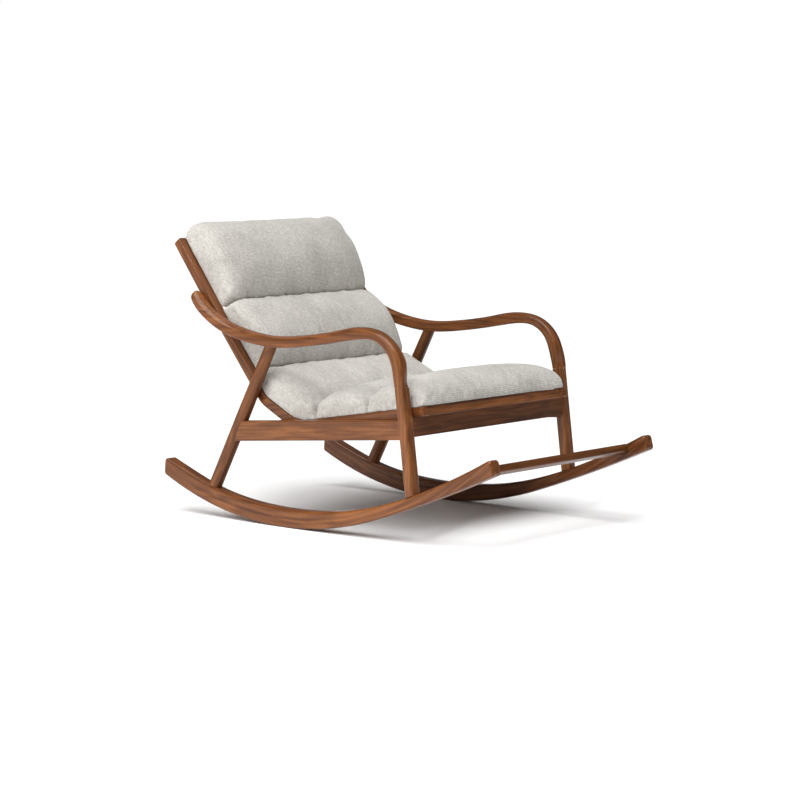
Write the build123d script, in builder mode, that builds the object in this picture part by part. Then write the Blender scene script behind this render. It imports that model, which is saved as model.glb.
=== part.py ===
from build123d import *
from math import atan2, cos, radians, sin
import os

# Rocking chair. +Z is up, the front of the chair faces -Y, and the origin is on the
# floor under the middle of the chair's bounding box. Side views are drawn from the point
# where the rockers touch the floor, as (distance towards the back, height).

os.makedirs("parts", exist_ok=True)

# ------------------------------------------------------------------ driving dimensions
CONTACT_Y = 124.9  # the floor contact lies this far behind the middle of the chair
HALF_WIDTH = 320  # middle plane to the outer faces of rockers, legs and arms
SIDE_THICKNESS = 34  # thickness of a rocker and of an arm, across the chair
INNER_FACE = HALF_WIDTH - SIDE_THICKNESS  # inner faces of the two side frames
GLUE_GAP = 0.1  # around tenons and dowels

ROCKER_RADIUS = 965  # sole of the rocker, from its back end to ahead of the front leg
ROCKER_BACK_SWEEP = 25.7  # degrees of that arc behind the floor contact
ROCKER_FRONT_SWEEP = 18.5  # degrees of that arc ahead of the floor contact
ROCKER_TOE_RADIUS = 4300  # flatter stretch under the front end
ROCKER_TOE_SWEEP = 5.2
ROCKER_TOP = [(415, 140), (330, 108), (250, 81), (20, 48), (-211, 62), (-403, 113), (-660, 229)]
ROCKER_END_ROUND = 9
ROCKER_EDGE_ROUND = 6

FRONT_LEG_FOOT = (-414, 112)
FRONT_LEG_HEAD = (-380.8, 371.6)
FRONT_LEG_WIDTH = 30
FRONT_LEG_DEPTH = 29
FRONT_LEG_ROUND = 7
FRONT_LEG_SHOULDER = 190  # distance above the foot from which the leg gets slimmer
FRONT_LEG_NECK = (27, 26)  # width and depth under the arm
FRONT_LEG_NECK_ROUND = 4

REAR_LEG_FOOT = (248, 79)
REAR_LEG_HEAD = (50, 446)
REAR_LEG_RADII = [16.9, 17, 16.9, 16, 14.8]  # evenly spaced, from foot to head
REAR_LEG_X = HALF_WIDTH - SIDE_THICKNESS / 2

TENON_RADIUS = 8
TENON_LENGTH = 18

ARM_TIP = (314.1, 568.6)  # back end of the arm's line
ARM_TIP_HEADING = 235.6  # degrees, pointing down the arm
ARM_TIP_RADIUS = 205
ARM_TIP_SWEEP = 35.6
ARM_SAG_RADIUS = 553
ARM_SAG_SWEEP = 29
ARM_STRAIGHT = 211
ARM_BEND_RADIUS = 92
ARM_BEND_SWEEP = 91
ARM_END = 48
# distance along the arm's line; width there; reach above and below the line; how far the
# outer edge lies below the crown
ARM_GIRTH = [
    (0, 12, 6.5, 6.5, 4),
    (4, 23, 9, 9, 6),
    (10, 30, 10.5, 10.5, 7),
    (20, 34, 11.5, 11.5, 8),
    (64, 34, 12.5, 12.5, 9),
    (128, 34, 14, 13.5, 9),
    (224, 34, 14.5, 13.5, 10),
    (314, 34, 14.5, 13.5, 10),
    (408, 34, 14.5, 13.5, 10),
    (514, 34, 14.5, 14, 10),
    (619, 34, 12, 15, 9),
    (656, 33, 8, 16, 7),
    (692, 31, 7.5, 17, 6),
    (728, 31, 10, 17, 7),
    (765, 31, 13, 15.5, 5),
    (812, 27, 13, 13, 1),
]
ARM_INNER_FALL = 5  # how far the inner edge lies below the crown
ARM_EDGE_ROUND = 3.5

APRON_THICKNESS = 29
APRON_INSET = 1.5  # from the inner faces of the side frames
APRON_TOP = [(111, 256), (-353, 294)]
APRON_BOTTOM = [(-368, 248), (129, 204)]
APRON_REACH = (28, 38)  # past those ends, to the front leg and around the rear leg
TENON_REACH = (28, 44)
APRON_TENON = (10, 30)  # thickness and height
APRON_EDGE_ROUND = 3
FRONT_APRON_MIDDLE = 278  # height of its middle line
FRONT_APRON_HEIGHT = 46
FRONT_APRON_THICKNESS = 22
FRONT_APRON_SETBACK = 5  # behind the front faces of the front legs

RAIL_WIDTH = 28
RAIL_THICKNESS = 23
# upper edge of the side rails in the side view, from the front of the seat to the top
RAIL_CORNERS = [(-433, 331), (-18, 262), (88, 316), (256, 525), (391, 703)]
RAIL_RADII = [110, 60, 3000]
RAIL_START = 9  # distance along that line where the seat rails begin
RAIL_INNER = INNER_FACE - RAIL_WIDTH
RAIL_MIDDLE = INNER_FACE - RAIL_WIDTH / 2
RAIL_EDGE_ROUND = 3
RAIL_END_ROUND = 8
RAIL_JOINT = 537  # distance along the upper edge of the joint between seat and back

SLAT_WIDTH = 52
SLAT_THICKNESS = 12
SLAT_SINK = 3  # below the upper face of the rails
SLAT_TENON = 12  # length of a slat's tenon in a rail
SLAT_SHOULDER = 2  # all round the tenon
SEAT_SLATS = [95, 175, 255, 335, 480]  # distances along the rails' upper edge
BACK_SLATS = [600, 684, 768, 880]
TOP_RAIL_PLACE = 992
TOP_RAIL_WIDTH = 46
TOP_RAIL_THICKNESS = 18
SEAT_FRONT_PLACE = 29
SEAT_FRONT_WIDTH = 30

REAR_STRETCHER_HEIGHT = 218
REAR_STRETCHER_SECTION = (22, 36)
FRONT_STRETCHER = (-611, 193)  # middle of its front face
FRONT_STRETCHER_SECTION = (36, 19)
FRONT_STRETCHER_SLOPE = -24

CUSHION_LIFT = 0.4  # clearance under the cushion
CUSHION_SEAMS = [195, 366, 600, 808]  # distances along the rails' upper edge
CUSHION_SEAM_HEIGHT = 44
CUSHION_CROWNS = [78, 80, 80]  # thickness in the middle of the puffs between two seams
# (distance, height) of the two end puffs: foot on the slats, shoulder and crown
CUSHION_FRONT = [(20, 0.4), (34, 60), (106, 79)]
CUSHION_TOP = [(1036, 0.4), (1004, 74), (916, 85)]
SEAT_HALF_WIDTH = 281
BACK_HALF_WIDTH = 267
COVER_THICKNESS = 2.5
FILLING_GAP = 0.3

BOLT_RADIUS = 3
BOLT_HEAD_RADIUS = 5.5
BOLT_HEAD_HEIGHT = 3.5
BOLT_REACH = 16  # into the side frame
SOCKET_RADIUS = 2
SOCKET_DEPTH = 2
WASHER_RADIUS = 8
WASHER_THICKNESS = 1.5
INSERT_RADIUS = 5
INSERT_LENGTH = 14
INSERT_SINK = 3  # below the inner face of the side frame
ARM_BOLTS = [(267, 520.5)]
LEG_BOLTS = [(113, 330)]
APRON_BOLTS = [(-60, 258), (-142, 266)]
DOWEL_RADIUS = 4
DOWEL_LENGTH = 34
SEAT_DOWEL_X = 265  # upright dowel, clear of the apron's own dowels


# ----------------------------------------------------------------------------- helpers
def side_plane(x):
    """Side view at this distance from the middle: local x runs back, local y up."""
    return Plane(origin=(x, CONTACT_Y, 0), x_dir=(0, 1, 0), z_dir=(1, 0, 0))


def in_chair(point, x):
    """A side-view point as a point of the chair."""
    return Vector(x, point[0] + CONTACT_Y, point[1])


def heading(angle):
    """Side-view unit vector at this angle, in degrees."""
    return (cos(radians(angle)), sin(radians(angle)))


def direction(start, end):
    """Direction in the chair from one side-view point to another."""
    return Vector(0, end[0] - start[0], end[1] - start[1]).normalized()


def at_height(start, end, height):
    """Side-view point at this height on the line through two others."""
    share = (height - start[1]) / (end[1] - start[1])
    return (start[0] + (end[0] - start[0]) * share, height)


def save(part, name):
    """Label one finished piece and write it."""
    part.label = name
    export_step(part, f"parts/{name}.step")


def save_pair(part, name):
    """Write the left piece, and its mirror image as the right one."""
    save(part, f"{name}_left")
    with BuildPart() as twin:
        mirror(part, about=Plane.YZ)
    save(twin.part, f"{name}_right")


def rod(start, axis, radius, length):
    """Round bar, for tenons, dowels, bolts and their holes."""
    with BuildPart() as piece:
        with BuildSketch(Plane(origin=start, z_dir=axis)):
            Circle(radius)
        extrude(amount=length)
    return piece.part


def cross_rod(place, start, end, radius):
    """Round bar across the chair, from one distance to another from the middle."""
    return rod(in_chair(place, start), (1, 0, 0), radius, end - start)


def both_sides(solids):
    """The same solids on the left and the right of the chair, as one group."""
    with BuildPart() as group:
        for solid in solids:
            add(solid)
        mirror(group.part, about=Plane.YZ)
    return group.part


# --------------------------------------------------------------- course of the rails
def course_corners(depth):
    """Corners of the line parallel to the rails' upper edge, this far below it."""
    legs = [atan2(b[1] - a[1], b[0] - a[0]) for a, b in zip(RAIL_CORNERS, RAIL_CORNERS[1:])]
    moved = []
    for corner, before, after in zip(RAIL_CORNERS, legs[:1] + legs, legs + legs[-1:]):
        middle = (before + after) / 2
        reach = depth / cos((after - before) / 2)
        moved.append((corner[0] + reach * sin(middle), corner[1] - reach * cos(middle)))
    return moved


def course_radii(depth):
    return [radius + depth for radius in RAIL_RADII]


with BuildLine() as upper_edge:
    FilletPolyline(*course_corners(0), radius=course_radii(0))
UPPER_EDGE = upper_edge.wire()


def course_point(distance, rise=0):
    """Side-view point this far along the rails' upper edge and this far above it."""
    share = min(distance / UPPER_EDGE.length, 1)
    tangent = UPPER_EDGE.tangent_at(share)
    beyond = max(distance - UPPER_EDGE.length, 0)
    foot = UPPER_EDGE.position_at(share) + tangent * beyond
    return (foot.X - tangent.Y * rise, foot.Y + tangent.X * rise)


def course_plane(distance, x=0):
    """Plane across the rails, with its normal pointing along them."""
    tangent = UPPER_EDGE.tangent_at(distance / UPPER_EDGE.length)
    origin = in_chair(course_point(distance), x)
    return Plane(origin=origin, x_dir=(-1, 0, 0), z_dir=(0, tangent.X, tangent.Y))


def course_bar(distance, width, thickness, sink, half_length):
    """Bar across the chair, lying parallel to the rails' upper edge."""
    across = course_plane(distance)
    with BuildPart() as bar:
        with BuildSketch(across.offset(-width / 2)):
            with Locations((0, -sink - thickness / 2)):
                Rectangle(2 * half_length, thickness)
        extrude(amount=width)
    return bar.part


# ----------------------------------------------------------------------------- rockers
with BuildLine() as rocker_outline:
    back = JernArc((0, 0), (1, 0), ROCKER_RADIUS, ROCKER_BACK_SWEEP)
    front = JernArc((0, 0), (-1, 0), ROCKER_RADIUS, -ROCKER_FRONT_SWEEP)
    toe = JernArc(front @ 1, front % 1, ROCKER_TOE_RADIUS, -ROCKER_TOE_SWEEP)
    top = Spline(*ROCKER_TOP)
    Line(back @ 1, top @ 0)
    Line(toe @ 1, top @ 1)


def front_leg_tenon(gap):
    axis = direction(FRONT_LEG_FOOT, FRONT_LEG_HEAD)
    foot = in_chair(FRONT_LEG_FOOT, HALF_WIDTH - FRONT_LEG_WIDTH / 2)
    length = TENON_LENGTH + gap
    return rod(foot - axis * length, axis, TENON_RADIUS + gap, length + 4)


def rear_leg_tenon(gap):
    axis = direction(REAR_LEG_FOOT, REAR_LEG_HEAD)
    foot = in_chair(REAR_LEG_FOOT, REAR_LEG_X)
    length = TENON_LENGTH + 4 + gap
    return rod(foot - axis * length, axis, TENON_RADIUS + gap, length + 12)


STRETCHER_HEADING = heading(FRONT_STRETCHER_SLOPE)
STRETCHER_MIDDLE = (
    FRONT_STRETCHER[0] + STRETCHER_HEADING[0] * FRONT_STRETCHER_SECTION[0] / 2,
    FRONT_STRETCHER[1] + STRETCHER_HEADING[1] * FRONT_STRETCHER_SECTION[0] / 2,
)


def cross_dowel(place, middle, gap):
    """Dowel across the chair, or its hole when there is a gap around it."""
    half = DOWEL_LENGTH / 2 + gap
    return cross_rod(place, middle - half, middle + half, DOWEL_RADIUS + gap)


def front_stretcher_dowels(gap):
    """Two dowels from the end of the front stretcher into the rocker."""
    shifts = (-9, 9)
    (middle_y, middle_z), (along_y, along_z) = STRETCHER_MIDDLE, STRETCHER_HEADING
    places = [(middle_y + along_y * shift, middle_z + along_z * shift) for shift in shifts]
    return [cross_dowel(place, INNER_FACE, gap) for place in places]


with BuildPart() as rocker_blank:
    with BuildSketch(side_plane(INNER_FACE)):
        make_face(rocker_outline.edges())
    extrude(amount=SIDE_THICKNESS)

with BuildPart() as rocker:
    add(rocker_blank.part)
    end_corners = rocker.edges().filter_by(GeomType.LINE).filter_by(Axis.X)
    fillet(end_corners, ROCKER_END_ROUND)
    fillet(rocker.faces().filter_by(Axis.X).edges(), ROCKER_EDGE_ROUND)
    add(front_leg_tenon(GLUE_GAP), mode=Mode.SUBTRACT)
    add(rear_leg_tenon(GLUE_GAP), mode=Mode.SUBTRACT)
    for hole in front_stretcher_dowels(GLUE_GAP):
        add(hole, mode=Mode.SUBTRACT)
save_pair(rocker.part, "rocker")


# -------------------------------------------------------------------------------- arms
with BuildLine() as arm_line:
    tip = JernArc(ARM_TIP, heading(ARM_TIP_HEADING), ARM_TIP_RADIUS, -ARM_TIP_SWEEP)
    sag = JernArc(tip @ 1, tip % 1, ARM_SAG_RADIUS, -ARM_SAG_SWEEP)
    straight_end = (sag @ 1) + (sag % 1) * ARM_STRAIGHT
    Line(sag @ 1, straight_end)
    bend = JernArc(straight_end, sag % 1, ARM_BEND_RADIUS, ARM_BEND_SWEEP)
    Line(bend @ 1, (bend @ 1) + (bend % 1) * ARM_END)
ARM_LINE = arm_line.wire()


def arm_section(distance, width, above, below, drop):
    """Rounded section with a crown that falls away to the outer side."""
    share = min(distance / ARM_LINE.length, 1)
    middle = ARM_LINE.position_at(share)
    tangent = ARM_LINE.tangent_at(share)
    center = in_chair((middle.X, middle.Y), HALF_WIDTH - SIDE_THICKNESS / 2)
    if distance > ARM_LINE.length / 2:
        center += Vector((SIDE_THICKNESS - width) / 2, 0, 0)
    half = width / 2
    inner_edge = above - min(ARM_INNER_FALL, drop)
    across = Plane(origin=center, x_dir=(1, 0, 0), z_dir=(0, tangent.X, tangent.Y))
    with BuildSketch(across) as section:
        with BuildLine():
            Polyline(
                (-half, inner_edge),
                (-half, -below),
                (half, -below),
                (half, above - drop),
            )
            ThreePointArc((half, above - drop), (-half / 4, above), (-half, inner_edge))
        make_face()
        fillet(section.vertices(), ARM_EDGE_ROUND)
    return section.sketch


def insert_holes(places):
    """Blind holes in a side frame for the threaded inserts at these places."""
    end = INNER_FACE + INSERT_SINK + INSERT_LENGTH + GLUE_GAP
    return [cross_rod(place, INNER_FACE - 1, end, INSERT_RADIUS + GLUE_GAP) for place in places]


def head_tenon(foot, head, x, gap):
    """Round tenon at the head of a leg, which stands in the arm."""
    axis = direction(foot, head)
    start = in_chair(head, x) - axis * 12
    return rod(start, axis, TENON_RADIUS + gap, 12 + TENON_LENGTH + gap)


FRONT_LEG_X = HALF_WIDTH - FRONT_LEG_WIDTH / 2
FRONT_LEG_INNER = HALF_WIDTH - FRONT_LEG_WIDTH

with BuildPart() as arm_blank:
    for row in ARM_GIRTH:
        add(arm_section(*row))
    loft()
    split(bisect_by=Plane.YZ.offset(INNER_FACE), keep=Keep.TOP)
    split(bisect_by=Plane.YZ.offset(HALF_WIDTH), keep=Keep.BOTTOM)

with BuildPart() as arm:
    add(arm_blank.part)
    add(head_tenon(FRONT_LEG_FOOT, FRONT_LEG_HEAD, FRONT_LEG_X, GLUE_GAP), mode=Mode.SUBTRACT)
    add(head_tenon(REAR_LEG_FOOT, REAR_LEG_HEAD, REAR_LEG_X, GLUE_GAP), mode=Mode.SUBTRACT)
    for hole in insert_holes(ARM_BOLTS):
        add(hole, mode=Mode.SUBTRACT)
save_pair(arm.part, "arm")


# ---------------------------------------------------------------- front leg and its joints
LEG_AXIS = direction(FRONT_LEG_FOOT, FRONT_LEG_HEAD)
LEG_LENGTH = (in_chair(FRONT_LEG_HEAD, 0) - in_chair(FRONT_LEG_FOOT, 0)).length
FRONT_APRON_BACK = FRONT_LEG_DEPTH / 2 - FRONT_APRON_SETBACK - FRONT_APRON_THICKNESS / 2


def leg_plane(point, x):
    """Plane across the front leg: local x is the chair's x, local y points back."""
    return Plane(origin=in_chair(point, x), x_dir=(1, 0, 0), z_dir=LEG_AXIS)


def front_apron_point(forward, rise):
    """Side-view point in the front apron, from the middle of its section."""
    middle = at_height(FRONT_LEG_FOOT, FRONT_LEG_HEAD, FRONT_APRON_MIDDLE)
    shift = -FRONT_APRON_BACK - forward
    return (
        middle[0] + LEG_AXIS.Z * shift + LEG_AXIS.Y * rise,
        middle[1] - LEG_AXIS.Y * shift + LEG_AXIS.Z * rise,
    )


def front_apron_dowels(gap):
    """Two dowels from the end of the front apron into the front leg."""
    return [cross_dowel(front_apron_point(5, rise), FRONT_LEG_INNER, gap) for rise in (-12, 8)]


def apron_tenons(gap):
    """Slim bar along the middle of the side apron that reaches into both legs."""
    thickness, height = APRON_TENON
    (top_back, top_front), (bottom_front, bottom_back) = APRON_TOP, APRON_BOTTOM
    front = (
        (top_front[0] + bottom_front[0]) / 2 - TENON_REACH[0] - gap,
        (top_front[1] + bottom_front[1]) / 2,
    )
    back = (
        (top_back[0] + bottom_back[0]) / 2 + TENON_REACH[1] + gap,
        (top_back[1] + bottom_back[1]) / 2,
    )
    half = height / 2 + gap
    inner_face = INNER_FACE + APRON_INSET + (APRON_THICKNESS - thickness) / 2 - gap
    with BuildPart() as bar:
        with BuildSketch(side_plane(inner_face)):
            corners = [(front[0], front[1] + half), (front[0], front[1] - half)]
            corners += [(back[0], back[1] - half), (back[0], back[1] + half)]
            Polygon(*corners, align=None)
        extrude(amount=thickness + 2 * gap)
    return bar.part


with BuildPart() as front_leg_blank:
    foot_plane = leg_plane(FRONT_LEG_FOOT, FRONT_LEG_X)
    with BuildSketch(foot_plane.offset(-FRONT_LEG_DEPTH)):
        RectangleRounded(FRONT_LEG_WIDTH, FRONT_LEG_DEPTH, FRONT_LEG_ROUND)
    extrude(amount=FRONT_LEG_DEPTH + FRONT_LEG_SHOULDER)
    with BuildSketch(foot_plane.offset(FRONT_LEG_SHOULDER)):
        RectangleRounded(FRONT_LEG_WIDTH, FRONT_LEG_DEPTH, FRONT_LEG_ROUND)
    with BuildSketch(foot_plane.offset(LEG_LENGTH + 10)):
        with Locations(((FRONT_LEG_WIDTH - FRONT_LEG_NECK[0]) / 2, 0)):
            RectangleRounded(*FRONT_LEG_NECK, FRONT_LEG_NECK_ROUND)
    loft()
    arm_foot, arm_end = ARM_LINE.tangent_at(1), ARM_LINE.position_at(1)
    parting = Plane(in_chair((arm_end.X, arm_end.Y), FRONT_LEG_X), z_dir=(0, arm_foot.X, arm_foot.Y))
    split(bisect_by=parting, keep=Keep.TOP)
    add(rocker_blank.part, mode=Mode.SUBTRACT)

with BuildPart() as front_leg:
    add(front_leg_blank.part.solids().sort_by(Axis.Z)[-1])
    add(front_leg_tenon(0))
    add(head_tenon(FRONT_LEG_FOOT, FRONT_LEG_HEAD, FRONT_LEG_X, 0))
    add(apron_tenons(GLUE_GAP), mode=Mode.SUBTRACT)
    for hole in front_apron_dowels(GLUE_GAP):
        add(hole, mode=Mode.SUBTRACT)
save_pair(front_leg.part, "front_leg")


# ----------------------------------------------------------------- rear leg and its joints
REAR_AXIS = direction(REAR_LEG_FOOT, REAR_LEG_HEAD)
REAR_LENGTH = (in_chair(REAR_LEG_HEAD, 0) - in_chair(REAR_LEG_FOOT, 0)).length
REAR_SKIRT = 16  # extra length at both ends, cut away where the leg is scribed
REAR_STRETCHER = at_height(REAR_LEG_FOOT, REAR_LEG_HEAD, REAR_STRETCHER_HEIGHT)


def rear_stretcher_dowel(gap):
    return cross_dowel(REAR_STRETCHER, INNER_FACE + 2, gap)


with BuildPart() as rear_leg_blank:
    start = in_chair(REAR_LEG_FOOT, REAR_LEG_X) - REAR_AXIS * REAR_SKIRT
    total = REAR_LENGTH + 2 * REAR_SKIRT
    step = total / (len(REAR_LEG_RADII) - 1)
    with BuildSketch(Plane(origin=start, x_dir=REAR_AXIS, z_dir=(1, 0, 0))):
        with BuildLine():
            Spline(*[(i * step, radius) for i, radius in enumerate(REAR_LEG_RADII)])
            Polyline((total, REAR_LEG_RADII[-1]), (total, 0), (0, 0), (0, REAR_LEG_RADII[0]))
        make_face()
    revolve(axis=Axis(start, REAR_AXIS))
    add(rocker_blank.part, mode=Mode.SUBTRACT)
    add(arm_blank.part, mode=Mode.SUBTRACT)

with BuildPart() as rear_leg:
    add(rear_leg_blank.part.solids().sort_by(SortBy.VOLUME)[-1])
    add(rear_leg_tenon(0))
    add(head_tenon(REAR_LEG_FOOT, REAR_LEG_HEAD, REAR_LEG_X, 0))
    add(apron_tenons(GLUE_GAP), mode=Mode.SUBTRACT)
    add(rear_stretcher_dowel(GLUE_GAP), mode=Mode.SUBTRACT)
    for hole in insert_holes(LEG_BOLTS):
        add(hole, mode=Mode.SUBTRACT)
save_pair(rear_leg.part, "rear_leg")


# --------------------------------------------------------------- rails of seat and back
def rail_band(width):
    """Both rails of one side before they are parted, this wide from their outer face."""
    with BuildPart() as band:
        with BuildSketch(side_plane(INNER_FACE - width)):
            with BuildLine():
                upper = FilletPolyline(*course_corners(0), radius=course_radii(0))
                lower_corners = course_corners(RAIL_THICKNESS)
                lower = FilletPolyline(*lower_corners, radius=course_radii(RAIL_THICKNESS))
                Line(upper @ 0, lower @ 0)
                Line(upper @ 1, lower @ 1)
            make_face()
        extrude(amount=width)
    return band


def slat_bar(place, width, thickness, sink, gap=0, tenon=False):
    """Cross bar between the rails, or the slimmer bar that makes its two tenons."""
    if not tenon:
        return course_bar(place, width, thickness, sink, RAIL_INNER)
    trim = 2 * SLAT_SHOULDER - 2 * gap
    half_length = RAIL_INNER + SLAT_TENON + gap
    return course_bar(place, width - trim, thickness - trim, sink + trim / 2, half_length)


CROSS_BARS = {"front_seat_rail": (SEAT_FRONT_PLACE, SEAT_FRONT_WIDTH, RAIL_THICKNESS, 0)}
for number, place in enumerate(SEAT_SLATS, 1):
    CROSS_BARS[f"seat_slat_{number}"] = (place, SLAT_WIDTH, SLAT_THICKNESS, SLAT_SINK)
for number, place in enumerate(BACK_SLATS, 1):
    CROSS_BARS[f"back_slat_{number}"] = (place, SLAT_WIDTH, SLAT_THICKNESS, SLAT_SINK)
CROSS_BARS["back_top_rail"] = (TOP_RAIL_PLACE, TOP_RAIL_WIDTH, TOP_RAIL_THICKNESS, SLAT_SINK)

for name, bar in CROSS_BARS.items():
    with BuildPart() as piece:
        add(slat_bar(*bar))
        fillet(piece.edges().filter_by(Axis.X), SLAT_SHOULDER)
        add(slat_bar(*bar, tenon=True))
    save(piece.part, name)


def rail_dowels(gap):
    """Two dowels side by side in the joint between seat rail and back rail."""
    joint = course_plane(RAIL_JOINT)
    middle = course_point(RAIL_JOINT, -RAIL_THICKNESS / 2)
    length = DOWEL_LENGTH + 2 * gap
    starts = [in_chair(middle, RAIL_MIDDLE + shift) - joint.z_dir * length / 2 for shift in (-7, 7)]
    return [rod(start, joint.z_dir, DOWEL_RADIUS + gap, length) for start in starts]


def seat_dowel(gap):
    """Upright dowel from the front apron into the seat rail that rests on it."""
    start = in_chair(front_apron_point(0, 5), SEAT_DOWEL_X)
    return rod(start - LEG_AXIS * gap, LEG_AXIS, DOWEL_RADIUS + gap, DOWEL_LENGTH + 2 * gap)


with BuildPart() as side_rail:
    add(rail_band(RAIL_WIDTH).part)
    split(bisect_by=course_plane(RAIL_START), keep=Keep.TOP)
    ends = side_rail.faces().sort_by(Axis.Y)[0].edges().filter_by(Axis.X, reverse=True)
    ends += side_rail.faces().sort_by(Axis.Z)[-1].edges().filter_by(Axis.X, reverse=True)
    fillet(ends, RAIL_END_ROUND)
    fillet(side_rail.faces().filter_by(Axis.X).edges(), RAIL_EDGE_ROUND)
    for bar in CROSS_BARS.values():
        add(slat_bar(*bar, gap=GLUE_GAP, tenon=True), mode=Mode.SUBTRACT)
    for place in ARM_BOLTS + LEG_BOLTS + APRON_BOLTS:
        add(cross_rod(place, RAIL_INNER - 1, INNER_FACE + 1, BOLT_RADIUS + GLUE_GAP), mode=Mode.SUBTRACT)
    for hole in rail_dowels(GLUE_GAP) + [seat_dowel(GLUE_GAP)]:
        add(hole, mode=Mode.SUBTRACT)

for name, kept in (("seat_rail", Keep.BOTTOM), ("back_rail", Keep.TOP)):
    with BuildPart() as rail:
        add(side_rail.part)
        split(bisect_by=course_plane(RAIL_JOINT), keep=kept)
    save_pair(rail.part, name)


# ------------------------------------------------------------------ aprons and stretchers
with BuildPart() as front_apron_blank:
    with BuildSketch(leg_plane(front_apron_point(0, 0), 0).offset(-FRONT_APRON_HEIGHT / 2)):
        with Locations((FRONT_LEG_X / 2, 0)):
            Rectangle(FRONT_LEG_X, FRONT_APRON_THICKNESS)
    extrude(amount=FRONT_APRON_HEIGHT)
    add(front_leg_blank.part, mode=Mode.SUBTRACT)
    add(rail_band(INNER_FACE).part, mode=Mode.SUBTRACT)

with BuildPart() as side_apron_blank:
    with BuildSketch(side_plane(INNER_FACE + APRON_INSET)):
        (top_back, top_front), (bottom_front, bottom_back) = APRON_TOP, APRON_BOTTOM
        front_reach, back_reach = APRON_REACH
        rise = (top_front[1] - top_back[1]) / (top_back[0] - top_front[0])
        Polygon(
            (top_front[0] - front_reach, top_front[1] + rise * front_reach),
            (bottom_front[0] - front_reach, bottom_front[1] + rise * front_reach),
            (bottom_back[0] + back_reach, bottom_back[1] - rise * back_reach),
            (top_back[0] + back_reach, top_back[1] - rise * back_reach),
            align=None,
        )
    extrude(amount=APRON_THICKNESS)
    fillet(side_apron_blank.edges().sort_by(SortBy.LENGTH)[-4:], APRON_EDGE_ROUND)
    add(front_leg_blank.part, mode=Mode.SUBTRACT)
    add(rear_leg_blank.part, mode=Mode.SUBTRACT)
    add(front_apron_blank.part, mode=Mode.SUBTRACT)

with BuildPart() as side_apron:
    add(side_apron_blank.part.solids().sort_by(SortBy.VOLUME)[-1])
    add(apron_tenons(0))
    for hole in insert_holes(APRON_BOLTS):
        add(hole, mode=Mode.SUBTRACT)
save_pair(side_apron.part, "side_apron")

with BuildPart() as front_apron:
    add(front_apron_blank.part)
    for hole in front_apron_dowels(GLUE_GAP) + [seat_dowel(GLUE_GAP)]:
        add(hole, mode=Mode.SUBTRACT)
    mirror(about=Plane.YZ)
save(front_apron.part, "front_apron")

with BuildPart() as rear_stretcher:
    with BuildSketch(Plane(origin=in_chair(REAR_STRETCHER, 0), x_dir=REAR_AXIS, z_dir=(1, 0, 0))):
        RectangleRounded(REAR_STRETCHER_SECTION[1], REAR_STRETCHER_SECTION[0], 3)
    extrude(amount=INNER_FACE + 6)
    add(rear_leg_blank.part, mode=Mode.SUBTRACT)
    add(side_apron_blank.part, mode=Mode.SUBTRACT)
    add(rear_stretcher_dowel(GLUE_GAP), mode=Mode.SUBTRACT)
    mirror(about=Plane.YZ)
save(rear_stretcher.part, "rear_stretcher")

with BuildPart() as front_stretcher:
    with BuildSketch(side_plane(0)):
        with Locations(Location(STRETCHER_MIDDLE, FRONT_STRETCHER_SLOPE)):
            RectangleRounded(*FRONT_STRETCHER_SECTION, 3)
    extrude(amount=INNER_FACE)
    for hole in front_stretcher_dowels(GLUE_GAP):
        add(hole, mode=Mode.SUBTRACT)
    mirror(about=Plane.YZ)
save(front_stretcher.part, "front_stretcher")


# --------------------------------------------------------------------------- fasteners
def bolt(place):
    """Button-head bolt from the inner side of a rail into the insert behind it."""
    head_face = RAIL_INNER - WASHER_THICKNESS
    with BuildPart() as piece:
        add(cross_rod(place, head_face, INNER_FACE + BOLT_REACH, BOLT_RADIUS))
        add(cross_rod(place, head_face - BOLT_HEAD_HEIGHT, head_face, BOLT_HEAD_RADIUS))
        rim = piece.edges().filter_by(GeomType.CIRCLE).sort_by(Axis.X)[0]
        fillet(rim, BOLT_HEAD_HEIGHT / 2)
        with BuildSketch(Plane(in_chair(place, head_face - BOLT_HEAD_HEIGHT), z_dir=(1, 0, 0))):
            RegularPolygon(SOCKET_RADIUS, 6)
        extrude(amount=SOCKET_DEPTH, mode=Mode.SUBTRACT)
    return piece.part


def ring(place, start, end, radius, bore):
    """Flat ring or tube across the chair."""
    with BuildPart() as piece:
        add(cross_rod(place, start, end, radius))
        add(cross_rod(place, start - 1, end + 1, bore), mode=Mode.SUBTRACT)
    return piece.part


BOLTS = ARM_BOLTS + LEG_BOLTS + APRON_BOLTS
INSERT_FACE = INNER_FACE + INSERT_SINK
BORE = BOLT_RADIUS + GLUE_GAP
save(both_sides([bolt(place) for place in BOLTS]), "rail_bolts")
washers = [ring(place, RAIL_INNER - WASHER_THICKNESS, RAIL_INNER, WASHER_RADIUS, BORE) for place in BOLTS]
save(both_sides(washers), "rail_washers")
inserts = [ring(place, INSERT_FACE, INSERT_FACE + INSERT_LENGTH, INSERT_RADIUS, BORE) for place in BOLTS]
save(both_sides(inserts), "rail_inserts")
save(both_sides(rail_dowels(0)), "rail_dowels")
save(both_sides(front_apron_dowels(0) + [seat_dowel(0)]), "apron_dowels")
save(both_sides(front_stretcher_dowels(0) + [rear_stretcher_dowel(0)]), "stretcher_dowels")


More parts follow.
